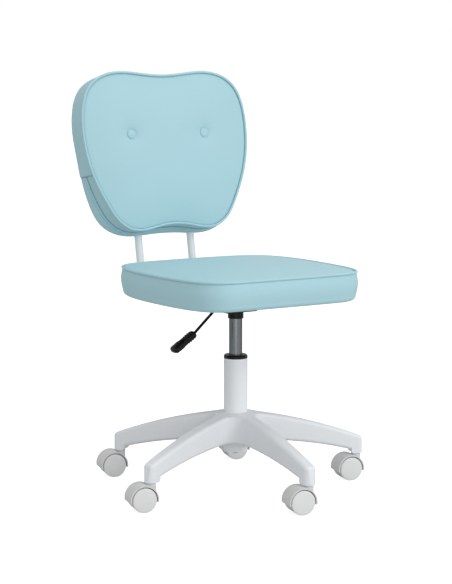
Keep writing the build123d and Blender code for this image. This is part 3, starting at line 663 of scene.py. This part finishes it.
def back_rings():
    """Rings from the middle of the front face, over the seam, round the rear to its middle."""
    t = np.concatenate([np.linspace(0.012, 0.955, 66), np.linspace(0.960, 1.0, 13)])
    front = front_edge[None] * t[:, None, None]
    valley = BACK_VALLEY * np.exp(-((1 - t) * back_half_width / SEAM_VALLEY_WIDTH) ** 2)
    front_d = (BACK_CROWN * (1 - t ** 3.0) - valley)[:, None] - tuft(front[..., 0], front[..., 1])
    straight = BACK_THICK - BACK_REAR_RADIUS
    turn = np.linspace(0, pi / 2, 9)[1:]
    depth = np.concatenate([[0.0012, 0.0024, 0.004], np.linspace(0.008, 0.029, 6),
                            np.linspace(0.031, 0.040, 8), np.linspace(0.042, straight, 4),
                            straight + BACK_REAR_RADIUS * np.sin(turn)])
    tuck = np.concatenate([np.zeros(21), BACK_REAR_RADIUS * (1 - np.cos(turn))])
    edge, normal = band_edge(depth)
    band = edge - normal * tuck[:, None, None]
    u = np.linspace(0.96, 0.03, 14)
    rear = band[-1][None] * u[:, None, None]
    rear_d = -BACK_THICK - 0.004 * (1 - u ** 2)
    plan = np.concatenate([front, band, rear])
    deep = np.concatenate([-depth, rear_d])[:, None]
    return lean(plan[..., 0], plan[..., 1],
                np.concatenate([front_d, np.repeat(deep, BACK_AROUND, 1)]))


points, faces = shell(back_rings()[::-1])
back_pad = mesh_piece("back_pad", points, faces, aqua, "seat", "upholstery")
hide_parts("back_cushion", "back_rear_pad")
print("back pad:", len(faces), "faces")

# %% [markdown]
# ### The back's piping
# The front seam has the same cord as the seat, leaned with the back.

# %% Back piping, round the front seam
seam = front_edge + front_normal * 0.0010
back_path = lean(seam[:, 0], seam[:, 1], np.full(BACK_AROUND, 0.0004))
front_across = front_normal[:, :1] * lean_across + front_normal[:, 1:] * lean_up
cord_loop("back_piping", back_path, front_across, np.tile(lean_out, (BACK_AROUND, 1)),
          PIPING_RADIUS, aqua, "seat", "upholstery")
print("back piping:", len(back_path), "rings")

# %% [markdown]
# ### Lower seams of the back
# The rear cover is sewn on below the cross seams with a piping of its own.  It follows the
# band's outline at the second seam, from one cross seam round the bottom to the other.

# %% Second piping
SECOND_PIPING_OUT = 0.0026
second_edge, second_normal = band_edge(np.array([BACK_SECOND_SEAM]))
lower_part = np.flatnonzero(second_edge[0, :, 1] < BACK_CROSS_SEAM - 0.001)
order = np.argsort(np.arctan2(second_edge[0, lower_part, 0], -second_edge[0, lower_part, 1]))
run = lower_part[order]
second_path = second_edge[0, run] + second_normal[0, run] * SECOND_PIPING_OUT
across = second_normal[0, run, :1] * lean_across + second_normal[0, run, 1:] * lean_up
second_line = lean(second_path[:, 0], second_path[:, 1], np.full(len(run), -BACK_SECOND_SEAM))
rows = cord_rows(second_line, across, np.tile(lean_out, (len(run), 1)), PIPING_RADIUS)
points, faces = shell(rows)
mesh_piece("back_second_piping", points, faces, aqua, "seat", "upholstery")
print("second piping:", len(run), "rings")

# %% [markdown]
# ### Cross seams
# Each cross seam is a short line of thread across the side band, laid into its groove.  Its
# dark aqua is painted shade of the groove.

# %% Cross seams
THREAD_STEPS, THREAD_RADIUS, THREAD_OUT = 24, 0.0005, 0.0002
for name, side in (("cross_seam_left", 1), ("cross_seam_right", -1)):
    depth = np.linspace(0.001, BACK_THICK - 0.012, THREAD_STEPS)
    edge, normal = band_edge(depth)
    near = np.abs(edge[..., 1] - BACK_CROSS_SEAM) + 9.0 * (edge[..., 0] * side < 0)
    pick = near.argmin(1)
    step = np.arange(THREAD_STEPS)
    push = normal[step, pick]
    line = edge[step, pick] + push * THREAD_OUT
    thread = cord_rows(lean(line[:, 0], line[:, 1], -depth),
                       push[:, :1] * lean_across + push[:, 1:] * lean_up,
                       np.tile(lean_up, (THREAD_STEPS, 1)), THREAD_RADIUS, 8)
    points, faces = shell(thread)
    # the thread's dark aqua is painted shade of the seam's groove
    mesh_piece(name, points, faces, seam_shade_thread, "seat", "upholstery")
print("cross seams at", BACK_CROSS_SEAM, "m along the back")

# %% [markdown]
# ### Covered buttons
# A button is a turned shape: a low dome, a round rim and a flat underside that sits in the
# tuft.

# %% Covered buttons
def turned_rows(radii, heights, around):
    """Rings of a turned shape: radius and height of each ring, along the axis d."""
    a = np.linspace(0, 2 * pi, around, endpoint=False)
    return (np.asarray(radii)[:, None] * np.cos(a), np.asarray(radii)[:, None] * np.sin(a),
            np.repeat(np.asarray(heights)[:, None], around, 1))


def button(name, side):
    """A covered button: a low dome with a rounded, tucked rim."""
    q = np.linspace(0, 1, 9) * pi / 2
    radii = np.concatenate([BUTTON_RADIUS * np.array([0.1, 0.35, 0.6]),
                            BUTTON_RADIUS * (0.78 + 0.22 * np.sin(q)),
                            BUTTON_RADIUS * np.array([0.96, 0.8, 0.1])])
    heights = np.concatenate([[0.0044, 0.0042, 0.0038], 0.0008 + 0.0024 * np.cos(q),
                              [-0.0012, -0.0025, -0.0025]])
    x, s, d = turned_rows(radii, heights, 48)
    pad_level = BACK_CROWN * 0.90 - 0.0065
    rows = lean(x + side * BUTTON_SPREAD, s + BUTTON_RISE, d + pad_level)
    points, faces = shell(rows[::-1])
    return mesh_piece(name, points, faces, aqua, "seat", "upholstery")


buttons = [button("button_left", 1), button("button_right", -1)]
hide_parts("back_buttons")
print("buttons:", [b.name for b in buttons])

# %% [markdown]
# ## The release lever's handle
# The handle is moulded over the end of the rod: a slim waist with finger ridges, then a broad
# flat end.  Each ring is a superellipse, so the handle is flat on both faces and round at the
# edges.

# %% Lever handle
TIP_OUT, TIP_FALL = 0.052, 0.0341
paddle_low, paddle_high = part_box("lever_paddle")
handle_run = np.array([-TIP_OUT, 0, -TIP_FALL])
handle_length = np.linalg.norm(handle_run)
handle_along = handle_run / handle_length
handle_up = np.cross([0.0, 1.0, 0.0], handle_along)
paddle_middle = np.array((paddle_low + paddle_high) / 2)
handle_start = paddle_middle * np.array([1.0, 0.0, 1.0]) - handle_run / 2
share = np.linspace(0, 1, 90)
half_width = np.interp(share, [0, 0.02, 0.08, 0.30, 0.42, 0.56, 0.64, 0.92, 0.98, 1.0],
                       [3.6, 7.2, 9.6, 10.4, 9.2, 9.8, 12.6, 13.0, 11.0, 8.0]) / 1000
half_thick = np.interp(share, [0, 0.03, 0.12, 0.55, 0.70, 0.94, 1.0],
                       [3.4, 6.4, 8.0, 7.6, 7.8, 7.0, 3.6]) / 1000
RIDGE_HEIGHT, RIDGE_TURNS = 0.0007, 11
ridged = smooth_step((0.50 - share) / 0.06) * smooth_step((share - 0.08) / 0.06)
ridges = RIDGE_HEIGHT * np.sin(share * 2 * pi * RIDGE_TURNS) * ridged
turn = np.linspace(0, 2 * pi, 40, endpoint=False)
squared = [np.sign(f(turn)) * np.abs(f(turn)) ** 0.62 for f in (np.cos, np.sin)]
rows = (handle_start + handle_length * share[:, None, None] * handle_along
        + (half_width + ridges)[:, None, None] * squared[0][:, None] * np.array([0, 1.0, 0])
        + (half_thick + ridges)[:, None, None] * squared[1][:, None] * handle_up)
points, faces = shell(rows)
handle = mesh_piece("lever_handle", points, faces, black_nylon, "lever", "black_plastic")
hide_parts("lever_paddle")
print("handle:", round(handle_length, 3), "m")

# %% [markdown]
# ## Caster wheels
# Each wheel is turned: a flat tread, a rounded shoulder and a face that domes out a little.
# The joint's own place and axis say where its axle is.

# %% Wheels
WHEEL_INNER, WHEEL_OUTER = 0.0069, 0.0224
SHOULDER, FACE_DOME, INNER_BREAK = 0.0022, 0.0013, 0.0008
FACE_SHARES = np.array([0.86, 0.70, 0.50, 0.28, 0.05])


def wheel_rows(centre, out, radius):
    """Rings of a turned wheel about the axle line centre + reach * out.

    Tread: the full radius.  Shoulder: a quarter circle.  Face: reach grows by
    FACE_DOME * (1 - share**2) as the radius shrinks to share * radius.
    """
    bend = np.linspace(0, pi / 2, 7)
    radii = np.concatenate([[0.1 * radius, radius - INNER_BREAK, radius],
                            radius - SHOULDER * (1 - np.cos(bend)), radius * FACE_SHARES])
    reach = np.concatenate([[WHEEL_INNER, WHEEL_INNER, WHEEL_INNER + INNER_BREAK],
                            WHEEL_OUTER - SHOULDER + SHOULDER * np.sin(bend),
                            WHEEL_OUTER + FACE_DOME * (1 - FACE_SHARES ** 2)])
    a = np.linspace(0, 2 * pi, 72, endpoint=False)[None, :, None]
    upright = np.array([0.0, 0.0, 1.0])
    flat = np.cross(out, upright)
    return (centre + reach[:, None, None] * out
            + radii[:, None, None] * (np.cos(a) * flat + np.sin(a) * upright))


joints = {joint["name"]: joint for joint in frame["record"]["behaviour"]["joints"]}
for number in range(1, 6):
    for side in ("left", "right"):
        spin = joints[f"caster_{number}_{side}_spin"]
        centre, axle = np.array(spin["pos_m"]), np.array(spin["axis"], float)
        node = f"caster_{number}_wheel_{side}"
        low, high = (np.array(corner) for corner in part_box(node))
        out = axle * np.sign(((low + high) / 2 - centre) @ axle)
        points, faces = shell(wheel_rows(centre, out, (high[2] - low[2]) / 2))
        wheel = mesh_piece(f"wheel_{number}_{side}", points, faces, disc_white,
                           f"caster_{number}_{side}", "wheel_plastic")
        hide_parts(node)
print("wheels:", 2 * number, "of", len(faces), "faces each")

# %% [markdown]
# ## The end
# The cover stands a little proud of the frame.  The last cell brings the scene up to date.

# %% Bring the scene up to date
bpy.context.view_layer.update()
import json
